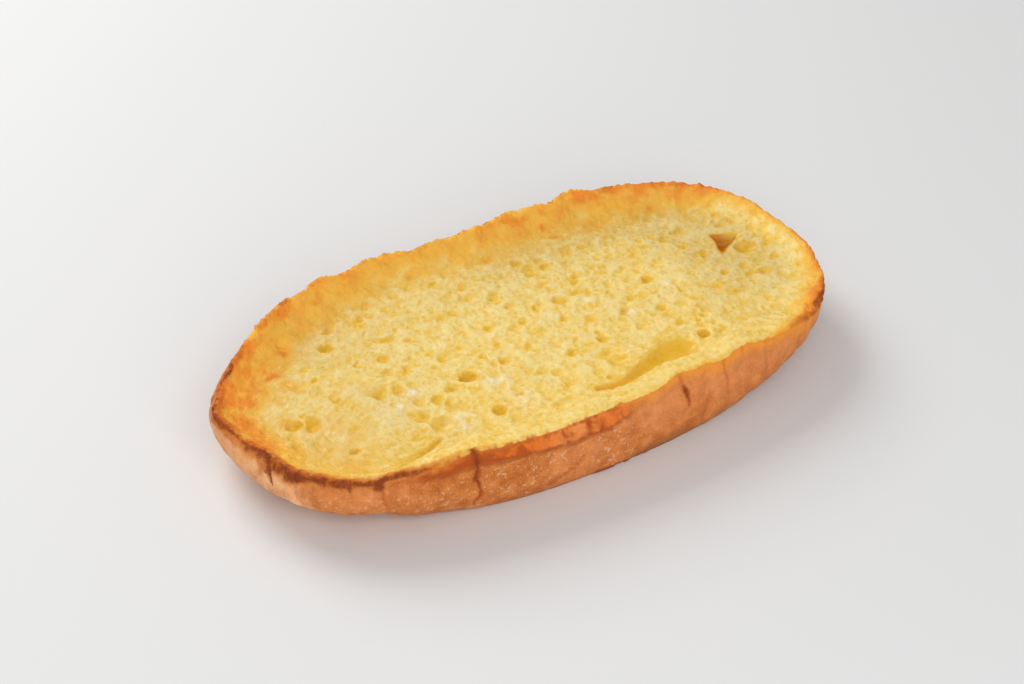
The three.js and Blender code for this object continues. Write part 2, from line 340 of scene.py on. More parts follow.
hollows = [  # the next size down: place, length, width
    (-43.4, 31.6, 3, 3.2), (-35, 30.8, 2.4, 2.2), (-69.3, 18.4, 3, 2.7), (-67.9, 12.4, 3, 3),
    (-40.8, 18, 4.6, 3), (-45.6, 10.7, 4, 3.4), (-53.7, 12, 2.6, 3.6), (-41.9, 2.1, 3.6, 4.4),
    (-14.7, 35.4, 3, 2.6), (-38, 36.6, 2.5, 3), (21.7, 25.6, 2.6, 4), (15.9, 23.8, 4, 3.9),
    (7.6, 7.6, 2.8, 4.4), (0.6, 3.2, 3.4, 4), (-11.8, -2, 3, 4), (-7.1, 29.3, 3, 5),
    (-10.7, 6.6, 2.6, 3), (-16.6, 19, 2.8, 3.5), (-4.2, -7.9, 3, 3.5), (26.4, 14.5, 3, 5),
    (27, 7.4, 2.7, 4), (32.3, -7.5, 3, 4.4), (42.9, -11.7, 3.3, 4), (56, 18.7, 3.8, 2.2),
    (12.8, -1.4, 3, 3.5), (20.3, -5.1, 3.3, 4), (38.2, 28.4, 2.4, 2.6), (47, 9, 2.7, 2.6),
    (92.2, -0.1, 3, 2.6), (71.1, 5.8, 2, 4.4), (71.6, -5.6, 2.2, 3.5), (69.2, -15.7, 2.8, 3),
    (6.3, -17.4, 3.6, 3.5), (-34.4, -12.6, 4, 4), (-40.5, -15.5, 3.3, 5), (-38.1, -18.4, 2.4, 4.4),
    (-45.8, -13, 4, 4.5), (-48.3, -19.8, 4, 4.5), (-17.5, -25.9, 2.8, 3), (-13.8, -9.9, 3.6, 4.5),
    (-18.1, -4.6, 3, 3), (-30, 1, 3.4, 2.6), (-66.6, 0.1, 4, 4), (94.4, -15.3, 2, 3),
    (44, -21.3, 3, 3.4), (31.2, -8, 2.6, 3.5), (-0.8, 16.1, 2.6, 2.6), (90.7, -7, 3, 2.6),
    (67.5, 12.7, 3, 2.6),
]
browning = {  # pairs of degrees round the rim and a value
    "reach": [  # how far in from the rim the toasting goes
        (0, 4.5), (20, 7), (45, 16), (60, 24), (75, 23), (100, 19), (130, 20), (155, 27), (180, 25),
        (195, 18), (205, 12), (215, 8), (228, 6), (243, 3), (250, 1), (302, 1.2), (308, 6), (315, 11),
        (325, 12), (335, 9), (345, 5), (360, 4.5),
    ],
    "strength": [  # how brown it is there
        (0, 0.8), (20, 0.85), (45, 1.1), (60, 1.1), (75, 0.9), (100, 0.8), (130, 1.12), (155, 1.55),
        (185, 1.25), (205, 1.25), (215, 1), (235, 0.85), (246, 0.4), (255, 0.2), (302, 0.3), (308, 0.9),
        (315, 1.35), (328, 1.35), (338, 1.1), (360, 0.9),
    ],
    "burnt": [  # how dark the burnt line at the rim is
        (0, 0.2), (8, 0.15), (30, 0.3), (40, 0.45), (62, 0.4), (70, 0.2), (90, 0.2), (110, 0.35),
        (125, 0.3), (140, 0.45), (147, 0.85), (154, 0.9), (160, 0.75), (168, 0.9), (176, 0.95),
        (182, 0.6), (188, 0.8), (192, 0.95), (196, 0.9), (200, 0.95), (208, 1.0), (222, 1.0),
        (228, 1.0), (233, 0.8), (238, 0.5), (243, 0.4), (250, 0.3), (254, 0.15), (305, 0.1),
        (312, 0.45), (320, 0.8), (327, 0.75), (335, 0.5), (350, 0.35), (360, 0.2),
    ],
    "width": [  # the burnt line's half width
        (0, 0.5), (130, 0.5), (160, 0.8), (172, 1.2), (182, 0.9), (192, 0.9), (200, 1.3), (208, 1.5),
        (220, 1.4), (230, 1.35), (238, 1.0), (262, 0.5), (305, 0.8), (320, 1.3), (330, 0.8), (360, 0.5),
    ],
    "edge": [  # how golden the crust's edge is
        (0, 0.9), (30, 0.7), (60, 0.5), (135, 0.5), (160, 1), (238, 1), (244, 0.25), (270, 0.3),
        (277, 1), (360, 1),
    ],
}
toastSpots = [  # brown spots on the slope: place, size
    (33.9, 36.6, 1.2), (65, 40.1, 1.8), (68.8, 34.2, 1.6), (-70.4, 29.4, 1.8), (31, 43, 1.2),
    (72, 39, 1.3), (-78, 21, 2), (-61, 37, 1.6), (7, 38, 1.2), (-20, 41, 1.4), (88, 17, 1.3),
    (-88, -14, 1.6),
]
wetGlintPlaces = [  # where soaked egg is wet and gets a painted glint: place, size
    (-17.9, -28.9, 2.6), (-39.3, -28.6, 2.6), (-45.6, -8.5, 2.2), (-21.1, -17.2, 2.4),
    (-74, -16.7, 2.4), (-53.6, -12, 3.2), (-74.5, -10.4, 2.2), (47.1, -7.6, 1.6), (33.4, -9.3, 1.4),
    (9.8, 1.5, 1.3), (14, 9.8, 1.3), (52, -2, 1.4), (24, 3, 1.2),
]
filmPlaces = [  # where the film of egg in the deep hollows is thicker: place, length, width, by how much
    (32.5, -36, 5, 2, 0.5), (34, -28.6, 2, 2, 0.3), (14, -38, 7, 2, 0.5), (28, -32.8, 2.5, 3, -0.2),
]
crumb = {
    "pits": 1100, "smallestPit": 1.4, "largestPit": 4.6, "pitDepth": 0.17, "hollowDepth": 0.25,
    "largeBubble": 8, "soakedDepth": 2, "skew": 0.35,
    "ragged": (0.75, 2.8, 3), "gentle": (0.5, 6.0, 2),  # how edges waver: by how much, size, octaves
    "cells": 3.2, "cellDepth": 0.38, "lumps": 0.34, "seed": 11,
}


def dent(points, x, y, long, wide, turn, steepness):  # share of the full depth, 0 outside
    c, s = math.cos(math.radians(turn)), math.sin(math.radians(turn))
    dx, dy = points[:, 0] - x, points[:, 1] - y
    u, v = (dx * c + dy * s) / (long / 2), (dy * c - dx * s) / (wide / 2)
    skewed = 1 - crumb["skew"] * np.clip(dx / (long / 2), -1, 1)  # deepest off its middle
    return np.clip(1 - u * u - v * v, 0, 1) ** steepness * skewed


def strokeShare(across, down, path):  # soft line through (across, down, half width) points
    share = np.zeros(len(across))
    for (a0, d0, w0), (a1, d1, w1) in zip(path, path[1:]):
        da, dd = a1 - a0, d1 - d0
        t = np.clip(((across - a0) * da + (down - d0) * dd) / (da * da + dd * dd), 0, 1)
        distance = np.hypot(across - mix(a0, a1, t), down - mix(d0, d1, t))
        share = np.maximum(share, hump(distance, 0, mix(w0, w1, t)))
    return share


def channelShare(points):  # one long burst bubble behind the near lip, deepest along the lip's side
    share = np.zeros(len(points))
    for (x0, y0, r0), (x1, y1, r1) in zip(channel["path"], channel["path"][1:]):
        length = math.hypot(x1 - x0, y1 - y0)
        dx, dy = (x1 - x0) / length, (y1 - y0) / length
        t = np.clip(((points[:, 0] - x0) * dx + (points[:, 1] - y0) * dy) / length, 0, 1)
        offX, offY = points[:, 0] - mix(x0, x1, t), points[:, 1] - mix(y0, y1, t)
        radius = mix(r0, r1, t)
        softer = 1.3 + 0.6 * np.clip(offY / radius, -1, 1)
        here = np.clip(1 - (offX ** 2 + offY ** 2) / radius ** 2, 0, 1) ** softer
        share = np.maximum(share, here * (1 - 0.35 * np.clip(offY / radius, -1, 1)))
    return share


def tearShare(points):  # its depth, and its painted shade, which starts a little further out
    corners = np.array(tear["corners"])
    inside = np.full(len(points), 9.0)
    for start, end in zip(corners, np.roll(corners, -1, 0)):
        edge = (end - start) / np.hypot(*(end - start))
        away = (points[:, 1] - start[1]) * edge[0] - (points[:, 0] - start[0]) * edge[1]
        inside = np.minimum(inside, away)
    return smooth(0, tear["slope"], inside), smooth(-0.7, 0.1, inside)


def makePits():  # the hollows, then small pits at random: what dent() takes, and how much painted shade each gets
    rng = np.random.default_rng(crumb["seed"])
    pits = [(x, y, long * 1.25, wide * 1.2, crumb["hollowDepth"] * min(long, wide), -30, 0.85)
            for x, y, long, wide in hollows]
    for _ in range(crumb["pits"]):
        size = mix(crumb["smallestPit"], crumb["largestPit"], rng.random() ** 3)
        vigour = rng.uniform(0.3, 1) ** 1.5
        x, y = rng.uniform(-97, 99), rng.uniform(-47, 47)
        long = size * rng.uniform(1, 1.6)
        depth = size * crumb["pitDepth"] * (0.4 + 0.8 * vigour)
        pits.append((x, y, long, size, depth, rng.uniform(-80, 40), 0.12 + 0.5 * vigour))
    return pits


def crumbRelief(points, inset, degrees):
    def bent(amount, size, octaves):  # the places, shifted a little so that round edges waver
        shift = np.stack([noiseAt(points, size, octaves, seed) for seed in (1, 2)], 1)
        return points[:, :2] + amount * shift

    ragged, gentle = bent(*crumb["ragged"]), bent(*crumb["gentle"])
    torn, tornTone = tearShare(gentle)
    scooped = channelShare(gentle)
    deep = (tear["depth"] * torn) ** 3 + (channel["depth"] * scooped) ** 3
    calm = np.maximum(tornTone, smooth(0, 0.3, scooped))
    shade = np.maximum(0.6 * tornTone, 0.8 * scooped ** 0.7)
    for x, y, long, wide, depth, turn, steepness in bubbles:
        large = long > crumb["largeBubble"]
        share = dent(gentle if large else ragged, x, y, long, wide, turn, steepness)
        deep += (depth * share) ** 3
        dark, fading = (0.74, 0.42) if large else (1.15, 0.65)
        shade = np.maximum(shade, np.clip(depth / 2, 0.6, 1) * dark * share ** fading)
        if large:
            calm = np.maximum(calm, smooth(0, 0.4, share))
        if large and depth >= crumb["soakedDepth"]:  # a soaked bubble is as glazed as the long one
            scooped = np.maximum(scooped, 0.8 * share)
    deep = deep ** (1 / 3)
    for path, depth, dark in creases:
        share = strokeShare(gentle[:, 0], gentle[:, 1], path)
        deep, shade = np.maximum(deep, depth * share), np.maximum(shade, dark * share)
    for x, y, long, wide, depth, turn, dark in makePits():
        reach = max(long, wide) / 2
        close = np.flatnonzero((np.abs(ragged[:, 0] - x) < reach) & (np.abs(ragged[:, 1] - y) < reach))
        if len(close):
            share = dent(ragged[close], x, y, long, wide, turn, 1.5) * (1 - 0.85 * calm[close])
            deep[close] = np.maximum(deep[close], depth * share)
            shade[close] = np.maximum(shade[close], dark * share ** 0.55)
    first, second, key = cellsAt(np.column_stack([ragged, points[:, 2]]), crumb["cells"], 1)
    coarse = smooth(0, 0.6, second - first) * smooth(0.1, 1, key) - 0.25
    smoothLip = smooth(8, 5, inset) * inZone(degrees, "smoothLip")
    quiet = (1 - 0.8 * calm) * (1 - 0.5 * smoothLip)
    lumps = uneven(points, "lumps") * quiet
    grain = uneven(points, "grain") * quiet
    grain += uneven(points, "slopeGrain") * smooth(24, 6, inset) * inZone(degrees, "farGrain")
    deep = deep * (1 - 0.7 * smoothLip)
    relief = -(deep + crumb["cellDepth"] * coarse * quiet) + crumb["lumps"] * lumps + grain
    relief = relief * mix(0.5, 1, smooth(0.2, 2.5, inset)) + uneven(points, "swell")
    relief += tornRim(points, degrees) * smooth(3.5, 0.3, inset)
    # The tone paints shade into the bubbles, pits, creases, the channel and the torn hole, and paints light
    # onto the raised lumps, over the crumb's own yellow.
    tone = shade * (1 - 0.6 * smoothLip) + (0.28 * coarse - 0.25 * lumps) * (1 - 0.5 * calm)
    tone += 0.09 * smooth(-18, -32, points[:, 1])
    return relief, tone, tornTone, calm, scooped


def tornRim(points, degrees):  # the crust's upper edge is torn and granular, most of all at the far side
    farRim = inZone(degrees, "farRim")
    coarse = uneven(points, "tornCoarse") * mix(0.25, 0.45, farRim)
    fine = uneven(points, "tornFine") * mix(0.3, 0.6, farRim)
    return (coarse + fine) * (1 - 0.5 * inZone(degrees, "evenRim"))


print("working the crumb")
topPoints = places[onTop]
relief, tone, torn, calm, scooped = crumbRelief(topPoints, facts["inset"][onTop], turnDegrees[onTop])

# Cracks and folds of the crust: degrees round the rim, top and low level, drift, depth, half width,
# darkness: in the cracks it is the crust's own dark colour, in the folds it is painted shade.
cracks = [
    (297, 1.0, 0.78, 1.0, 0.5, 0.9, 0.3), (258, 0.62, 0.38, -5, 0.35, 0.5, 0.3),
    (222, 0.55, 0.2, 6, 0.4, 1.2, 0.12), (311, 0.7, 0.3, 3, 0.4, 1.1, 0.15),
    (302, 0.85, 0.35, 2, 0.5, 1.4, 0.1), (290, 0.7, 0.1, -3, 0.5, 1.5, 0.1),
    (60, 0.95, 0.4, 2, 0.9, 0.6, 0.8), (104, 1.0, 0.3, -2.5, 1.0, 0.6, 0.9),
    (131, 0.85, 0.5, 2, 0.5, 0.6, 0.5), (82, 0.6, 0.3, 4, 0.4, 0.6, 0.3),
    (118, 0.98, 0.8, 1, 0.5, 0.7, 0.4), (74, 1, 0.82, -1, 0.4, 0.7, 0.4),
    (160, 0.9, 0.55, -2, 0.6, 0.9, 0.3), (340, 0.95, 0.6, -2, 0.6, 0.8, 0.4),
    (20, 0.9, 0.5, 2, 0.5, 0.8, 0.4),
]
# Strokes along the rim: degrees, a path of (along the rim, below the rim, half width) in millimetres,
# depth, darkness.
strokes = {
    # cracks in their own dark colour, and folds darkened with painted shade
    "crackAndFoldShade": [
        (244.7, ((0, -0.2, 1.4), (1.1, 5.5, 1.1), (0.4, 10.7, 0.7), (1.5, 15.3, 0.6), (-0.8, 20.7, 0.55)),
         0.9, 1),
        (284, ((0, 0, 0.9), (1.1, 5.9, 1)), 0.6, 0.25),
        (284, ((1.4, 6.3, 0.6), (2.6, 9, 0.6), (3.4, 14, 0.4)), 0.8, 0.95),
        (228, ((0.6, 3.5, 0.5), (1.8, 7, 0.45), (2.6, 11, 0.4)), 0.4, 0.5),
        (284, ((2, 19, 0.4), (4.5, 21, 0.5)), 0.6, 0.4),
        (209, ((0, 1.5, 0.8), (1, 6, 0.8), (3.5, 13, 0.7)), 0.9, 0.1),
        (300, ((0, 0.6, 0.5), (6, 1.4, 0.5)), 0.3, 0.3),
        (259, ((-2.3, 22, 1.3), (1.2, 19.7, 0.9), (5, 18, 0.4), (10, 14.3, 0.35)), 0.5, 0.5),
        (313, ((0, 1.5, 0.5), (5, 0.4, 0.6)), 0.4, 0.45),
        (293, ((0, 2, 0.6), (0.8, 8, 0.5), (1.6, 14, 0.5)), 0.5, 0.35),
    ],
    "burn": [
        (191, ((0, 0, 0.9), (4, 0.6, 1.7), (7, 1.6, 1.6), (9, 3.6, 1), (11, 5.4, 0.8)), 0.5, 0.85),
        (228, ((-0.3, 1.2, 1.9), (0.3, 2.6, 1.3)), 0.3, 0.95),
        (222.6, ((0, 0, 1), (0.2, 2.6, 0.8)), 0.2, 0.75),
        (219.3, ((0, 0, 0.8), (0.1, 1.4, 0.7)), 0.2, 0.7),
        (236.6, ((0, 1, 0.9), (0.3, 4.2, 0.9)), 0.2, 0.4),
        (151, ((-3.4, -1, 0.8), (0, -1.2, 1), (3, -0.9, 0.8)), 0.2, 0.8),
        (326, ((-4, -0.6, 1.3), (0, -0.2, 1.7)), 0.3, 0.65),
        (321, ((-4, -1.6, 1.2), (0, -0.9, 1.6), (3, -0.4, 1.3)), 0.3, 0.75),
        (316.5, ((-3, -1.8, 1.1), (2, -1.2, 1)), 0.2, 0.45),
    ],
    "red": [
        (252.5, ((-0.6, 0.3, 1), (0.6, 3, 1), (1, 6, 0.8)), 0.4, 0.55),
        (248.5, ((-3, 0.6, 1), (3.5, 0.9, 1)), 0, 0.7),
        (260.2, ((0, 2, 0.8), (0.6, 4, 0.8), (1.5, 7.2, 0.7)), 0.2, 0.3),
        (257, ((0, 0.4, 0.8), (6, 0.8, 0.6)), 0, 0.35),
        (265.5, ((-0.4, 2, 0.8), (0.3, 5, 0.9), (-0.4, 8, 0.9)), 0.5, 0.55),
        (268.3, ((0, 3.5, 0.8), (-0.8, 7.5, 0.7)), 0.3, 0.4),
        (271.6, ((-0.5, 1, 0.8), (0.5, 5, 0.8), (1, 8, 0.6)), 0.4, 0.4),
        (239, ((0, 1, 1.6), (-0.4, 6, 1.3)), 0.1, 0.7), (242, ((0, 4.4, 0.9), (2.4, 3.8, 0.8)), 0, 0.5),
    ],
}
soakedBand = {  # by degrees round the rim: its lowest level, and how much of it there is
    "low": [(60, 0.92), (76, 0.82), (94, 0.76), (108, 0.8), (122, 0.9), (224, 0.97), (230, 0.92),
            (236, 0.84), (240, 0.79), (248, 0.75), (254, 0.72), (260, 0.67), (266, 0.64), (270, 0.66),
            (276, 0.8)],
    "amount": [(62, 0), (74, 0.7), (110, 0.7), (122, 0), (228, 0), (236, 1), (270, 1), (277, 0)],
}


def drawStrokes(points, turn, fromCrest):  # how dark each kind of stroke is, and the depth of them all
    run = runAt(turn) + uneven(points, "strokeAlong")
    below = fromCrest + uneven(points, "strokeDown")
    depths, darkness = np.zeros(len(points)), {}
    for kind, several in strokes.items():
        darkness[kind] = np.zeros(len(points))
        for at, path, depth, dark in several:
            share = strokeShare(run - runAt(math.radians(at)), below, path)
            darkness[kind] = np.maximum(darkness[kind], dark * share)
            depths = np.maximum(depths, depth * share)
    return darkness, depths


def crustRelief(points, turn, level, degrees, fromCrest):
    run = runAt(turn)
    wander = uneven(points, "crackWander")
    cracked, relief = np.zeros(len(points)), np.zeros(len(points))
    for at, top, low, drift, depth, width, dark in cracks:
        share = np.clip((top - level) / (top - low), 0, 1)
        distance = np.abs(run - runAt(math.radians(at)) - drift * share ** 2 - wander)
        within = smooth(low - 0.06, low + 0.1, level) * smooth(top + 0.06, top - 0.02, level)
        shape = hump(distance, 0, width * mix(1, 0.6, share)) * within
        cracked = np.maximum(cracked, dark * shape)
        relief -= depth * shape
        relief += 0.3 * depth * hump(distance, 2.4 * width, 1.5 * width) * within  # its raised sides
    bandLow = along(degrees, soakedBand["low"]) + uneven(points, "bandLow")
    amount = along(degrees, soakedBand["amount"])
    inBand = smooth(bandLow - 0.015, bandLow + 0.03, level) * amount
    bandEdge = hump(level, bandLow - 0.01, 0.018) * amount
    relief += inBand * (0.4 + uneven(points, "bandSwell")) - 0.35 * bandEdge
    wrinkles = uneven(np.column_stack([run, 0.25 * points[:, 2], 0 * run]), "wrinkles")
    relief += wrinkles * (0.35 * inZone(degrees, "rightFolds") + 0.3 * inZone(degrees, "leftFolds"))
    relief += uneven(points * [1, 1, 0.4], "crustSwell") + uneven(points, "crustLumps")
    relief += uneven(points * [1, 1, 0.5], "crustGrain")
    ragged = smooth(-0.25, 0.35, uneven(points * [1, 1, 0], "flakes"))
    flakes = hump(degrees, 271, 6.5) * smooth(0.07, 0.03, level) * smooth(-0.25, -0.1, level) * ragged
    return relief + tornRim(points, degrees) * smooth(3, 0, fromCrest), cracked, inBand, bandEdge, flakes


print("working the crust")
wall = ~onTop
crestHeight = crestAt(facts["turn"])[2]
fromCrest = np.where(onTop, -facts["inset"], (1 - facts["level"]) * crestHeight)
wallRelief, cracked, inBand, bandEdge, flakes = crustRelief(
    places[wall], facts["turn"][wall], facts["level"][wall], turnDegrees[wall], fromCrest[wall])
darkness, strokeDepth = drawStrokes(places, facts["turn"], fromCrest)
offsets = np.zeros(len(places))
offsets[onTop] = relief
offsets[wall] = wallRelief * smooth(-0.02, 0.1, facts["level"][wall]) + 0.9 * flakes
offsets -= strokeDepth
shaped = places + normals * offsets[:, None]
shaped[:, 2] = np.maximum(shaped[:, 2], 0)
flat = facts["level"] <= 0
hollowed = np.clip(uneven(places[flat], "bottom"), 0, 1) * smooth(0, -0.3, facts["level"][flat])
shaped[flat, 2] = 0.3 * hollowed
slabMesh.vertices.foreach_set("co", ((shaped - centre) * mm).ravel())
slabMesh.update()


def saveMask(name, values, where=slice(None)):  # on the top or the wall alone, or everywhere
    everywhere = np.zeros(len(places))
    everywhere[where] = values
    attribute = slabMesh.attributes.new(name, "FLOAT", "POINT")
    attribute.data.foreach_set("value", np.clip(everywhere, 0, 1).astype(np.float32))


patchy, ragged, granules = [uneven(places, kind) for kind in ("patchy", "ragged", "granules")]
nearLip, rightHalf = inZone(turnDegrees, "nearLip"), inZone(turnDegrees, "rightHalf")
raggedFar, raggedNear = 0.9 * patchy + 0.6 * ragged, 0.6 * patchy + 0.4 * ragged + 0.7 * granules
fringe = mix(raggedFar - 0.1, raggedNear + 0.4, nearLip)  # how far down the crumb reaches over the crust


def markToasting():
    reach = along(turnDegrees, browning["reach"]) * (1 + 0.35 * patchy + 0.25 * ragged)
    share = np.clip(facts["inset"] / np.maximum(reach, 0.5), 0, 1)
    brown = along(turnDegrees, browning["strength"]) * np.where(onTop, (1 - share) ** 1.5, 1)
    brown = brown * (1 - 0.45 * inZone(turnDegrees, "farTop") * hump(fromCrest, -0.2, 1.1))
    bentX, bentY = places[:, 0] + ragged, places[:, 1] + 1.5 * patchy
    spots = sum(hump(bentX, x, size) * hump(bentY, y, size) for x, y, size in toastSpots)
    warmth = 0.27 * smooth(-50, -78, places[:, 0]) * smooth(8, -12, places[:, 1]) * onTop
    saveMask("brown", np.maximum(brown, warmth) + 0.5 * spots)


def markRim():  # where crumb turns to crust, the golden edge, and the burnt line
    blur = 1 + 1.2 * rightHalf
    saveMask("crust", smooth(-0.6 * blur, 0.7 * blur, fromCrest - fringe))
    width = 1.3 + 1.6 * np.maximum(0, patchy) + 1.2 * rightHalf
    width = width + 2.5 * smooth(300, 312, turnDegrees) * rightHalf
    golden = hump(fromCrest, 0.5 + fringe + 0.5 * rightHalf, width)
    saveMask("edge", along(turnDegrees, browning["edge"]) * golden)
    width = along(turnDegrees, browning["width"]) * (1 + 0.6 * patchy)
    away = fromCrest - fringe - 0.5 - uneven(places, "burnEdge")
    burnt = along(turnDegrees, browning["burnt"]) * (1 + uneven(places, "burnAmount"))
    saveMask("burn", np.maximum(burnt * hump(away, 0, np.maximum(width, 0.35)), darkness["burn"]))
    singed = hump(away, mix(-0.5, 0.3, nearLip), np.maximum(1.0 + 1.3 * width, 0.4))
    bandTop = along(turnDegrees, soakedBand["amount"]) * inZone(turnDegrees, "bandTop")
    redLine = (0.9 + 0.3 * ragged) * bandTop * hump(fromCrest - fringe, 0.4, 0.8)
    saveMask("singed", np.maximum(np.maximum(burnt, 0) ** 0.6 * singed, redLine))


def markCrumb():
    x, y = topPoints[:, 0], topPoints[:, 1]
    # painted shade in the hollows and painted light on the ridges, over the crumb's own colour
    saveMask("hollow", 0.26 + 0.85 * tone, onTop)
    # painted shade inside the torn hole
    saveMask("deepHoleShade", torn * smooth(85, 80.5, x), onTop)
    # where the egg is wet: it lowers the roughness and brings a painted glint of pale cream
    wetAndGlint = sum(hump(x, atX, 1.5 * size) * hump(y, atY, 1.5 * size) for atX, atY, size in wetGlintPlaces)
    saveMask("wetAndPaintedGlint", wetAndGlint * (0.6 + 0.8 * ragged[onTop]), onTop)
    saveMask("calm", calm, onTop)
    filmed = 0.42 + 0.3 * patchy[onTop]
    for atX, atY, long, wide, share in filmPlaces:
        filmed += share * hump(x, atX, long) * hump(y, atY, wide)
    saveMask("film", smooth(0, 0.8, scooped) * filmed, onTop)
    # Painted shade: the crumb is darkened away from the near side, more towards the far side and the two
    # ends, and at the foot of the far slope, where the rim shades it; less in the hollows and not close to
    # the rim.
    x, y = x + 8 * patchy[onTop], y + 8 * patchy[onTop]
    paintedShade = 0.3 * smooth(-38, -15, y) + 0.3 * smooth(5, 28, y) + 0.3 * smooth(50, 75, x)
    paintedShade += 0.4 * smooth(52, 70, x) * smooth(-28, 0, y) + 0.3 * smooth(-30, -60, x)
    inset = facts["inset"][onTop]
    paintedShade = paintedShade * smooth(4, 14, inset) + 0.5 * hump(inset, 17, 7) * inZone(turnDegrees[onTop], "farSlope")
    saveMask("paintedShade", paintedShade * (1 - 0.6 * np.clip(tone, 0, 1)), onTop)


def markCrust():
    level, degrees = facts["level"], turnDegrees
    cracks = darkness["crackAndFoldShade"] * smooth(-1, 0.2, fromCrest)
    # the cracks' own dark and the burnt flakes; in the folds the darkening is painted shade, and the dark
    # line under the soaked band's edge is partly painted shadow
    cracks[wall] = np.maximum(cracks[wall], cracked + 0.7 * bandEdge + 2 * flakes)
    saveMask("crackAndFoldShade", cracks)
    saveMask("soaked", inBand, wall)
    bandFoot = hump(level, along(degrees, soakedBand["low"]) + 0.03, 0.03)
    red = 0.15 + uneven(places, "blotches") + 0.35 * granules + 0.55 * smooth(258, 244, degrees)
    red = red + 0.7 * hump(fromCrest - fringe, 0.6, 0.8) + 0.6 * bandFoot + darkness["red"]
    leftEnd, farSide = inZone(degrees, "leftEnd"), inZone(degrees, "farSide")
    pale = leftEnd * (0.75 + 0.8 * patchy + 0.3 * inZone(degrees, "leftTip"))
    pale = pale * smooth(0.97, 0.8, level) * smooth(-0.3, 0.1, level) + 0.35 * farSide * (0.5 + patchy)
    rosy = 0.85 * rightHalf * smooth(0.1, 0.7, level) + 0.6 * leftEnd + 0.3 * farSide
    rosy = rosy + 0.8 * hump(degrees, 263, 6) + 0.5 * hump(degrees, 225, 9)
    floured = smooth(0.9, 0.6, level) * mix(0.5, 1, smooth(-0.05, 0.05, level)) * (1 - 0.75 * rightHalf)
    # the darker bottom crust; its higher reach on the right half is painted shade at the wall's foot
    under = smooth(0.1 + 0.18 * rightHalf, -0.02, level)
    masks = {"red": red, "pale": pale, "rosy": rosy, "floured": floured, "under": under}
    for name, values in masks.items():
        saveMask(name, values[wall], wall)


print("marking crumb, crust and browning")
markToasting()
markRim()
markCrumb()
markCrust()


# Materials
breadMaterial = bpy.data.materials.new("soakedToast")
breadMaterial.use_nodes = True
tree = breadMaterial.node_tree  # where the functions below add their nodes


def addNode(kind, **values):
    node = tree.nodes.new(kind)
    for name, value in values.items():
        if name in node.inputs:
            node.inputs[name].default_value = value
        else:
            setattr(node, name, value)
    return node


def addRamp(factor, stops):
    node = addNode("ShaderNodeValToRGB")
    elements = node.color_ramp.elements
    while len(elements) < len(stops):
        elements.new(0.5)
    for element, (place, colour) in zip(elements, stops):
        element.position = place
        element.color = (*colour, 1)
    tree.links.new(factor, node.inputs[0])
    return node.outputs["Color"]


def plug(socket, value):
    if isinstance(value, bpy.types.NodeSocket):
        tree.links.new(value, socket)
    elif isinstance(value, tuple):
        socket.default_value = (*value, 1)
    else:
        socket.default_value = value


def addMix(factor, first, second, blend="MIX"):
    node = addNode("ShaderNodeMix", data_type="RGBA", blend_type=blend)
    plug(node.inputs["Factor"], factor)
    colours = [socket for socket in node.inputs if socket.type == "RGBA"]
    plug(colours[0], first)
    plug(colours[1], second)
    return [socket for socket in node.outputs if socket.type == "RGBA"][0]


def addMath(operation, *values, clamp=False):
    node = addNode("ShaderNodeMath", operation=operation, use_clamp=clamp)
    for socket, value in zip(node.inputs, values):
        plug(socket, value)
    return node.outputs[0]


def times(first, second):
    return addMath("MULTIPLY", first, second)


def weigh(value, weight, plus, clamp=False):
    return addMath("MULTIPLY_ADD", value, weight, plus, clamp=clamp)


def addStep(value, name):  # 0 before the step's first value, 1 after its second, smooth between
    node = addNode("ShaderNodeMapRange", interpolation_type="SMOOTHSTEP")
    tree.links.new(value, node.inputs["Value"])
    node.inputs["From Min"].default_value, node.inputs["From Max"].default_value = steps[name]
    return node.outputs["Result"]


def mask(name):
    return addNode("ShaderNodeAttribute", attribute_name=name).outputs["Fac"]


def layOut():  # every node one column left of what it feeds
    columns = {node.name: 0 for node in tree.nodes}
    for _ in tree.nodes:
        for link in tree.links:
            source = link.from_node.name
            columns[source] = max(columns[source], columns[link.to_node.name] + 1)
    for row, node in enumerate(tree.nodes):
        node.location = (-220 * columns[node.name], -60 * row)


